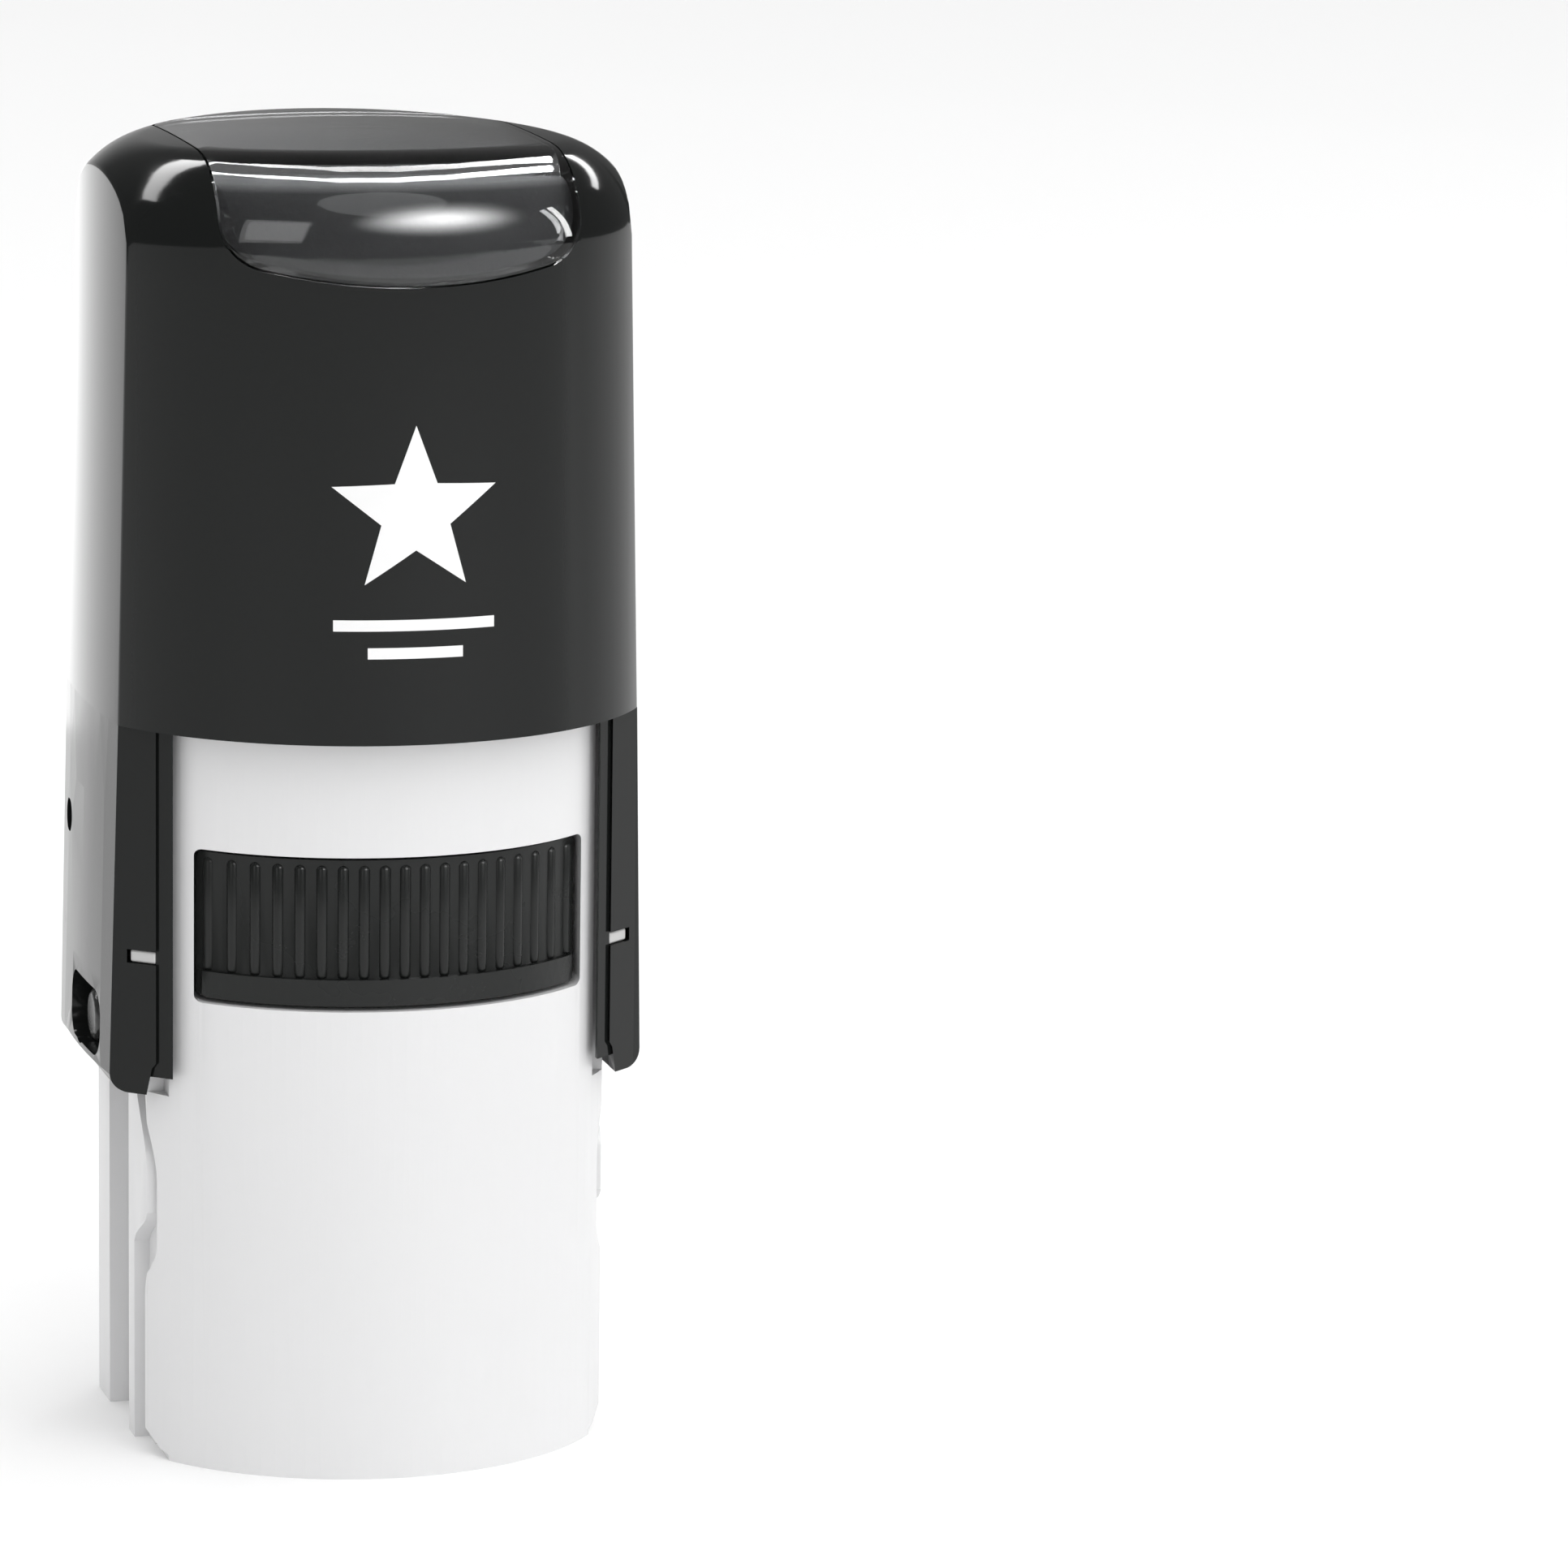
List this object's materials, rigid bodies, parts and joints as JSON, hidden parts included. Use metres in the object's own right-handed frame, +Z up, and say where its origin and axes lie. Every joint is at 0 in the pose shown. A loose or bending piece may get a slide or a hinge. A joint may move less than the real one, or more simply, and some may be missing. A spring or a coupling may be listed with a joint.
{
  "type": "self-inking stamp",
  "caption": "Self-inking rubber stamp: a black cap on two legs presses down over a white base and turns the round text plate from its ink pad to the paper",
  "frame": {"origin": "centre of the base's underside, on the press axis", "axes": "+Z up along the press axis, -Y towards the front with the cartridge window, +X to the right seen from the front, along the text plate's axle"},
  "size_m": [0.0306, 0.0328, 0.0726],
  "materials": {
    "cap_black": "moulded, fine satin gloss",
    "leg_black": "moulded, gloss",
    "clear_plastic": "clear, polished",
    "card": "matt dark card",
    "spring_steel": "drawn wire",
    "base_white": "moulded, satin",
    "cartridge_black": "moulded, satin",
    "pad_felt": "ink-soaked felt",
    "yoke_plastic": "moulded, matt",
    "axle_plastic": "moulded, satin",
    "pin_steel": "ground",
    "plate_plastic": "moulded, matt",
    "cushion_foam": "fine cell foam",
    "plate_rubber": "laser-cut rubber"
  },
  "bodies": {
    "base": {"base_shell": "base_white", "return_spring": "spring_steel"},
    "cap": {"cap_shell": "cap_black", "stirrup": "leg_black", "index_card": "card"},
    "window": {"index_window": "clear_plastic"},
    "rotor": {"rotor_yoke": "yoke_plastic", "die_axle": "axle_plastic", "guide_pins": "pin_steel", "die_plate": "plate_plastic", "die_cushion": "cushion_foam", "text_plate": "plate_rubber"},
    "cartridge": {"ink_cartridge": "cartridge_black", "ink_pad": "pad_felt"}
  },
  "joints": [
    {"name": "cap_press", "type": "slide", "parent": "base", "child": "cap", "axis": [0, 0, -1], "range_m": [0, 0.0172], "stiffness_N_per_m": 500, "springref_m": -0.012, "deforming": ["return_spring"]},
    {"name": "plate_flip", "type": "hinge", "parent": "cap", "child": "rotor", "pos_m": [0, 0, 0.0234], "axis": [1, 0, 0], "range_deg": [0, 180]},
    {"name": "cartridge_slide", "type": "slide", "parent": "base", "child": "cartridge", "axis": [0, -1, 0], "range_m": [0, 0.032]},
    {"name": "window_lift", "type": "slide", "parent": "cap", "child": "window", "axis": [0, 0, 1], "range_m": [0, 0.012]}
  ],
  "couplings": [
    {"joint": "plate_flip", "follows": "cap_press", "rad_per_m": 182.65}
  ]
}
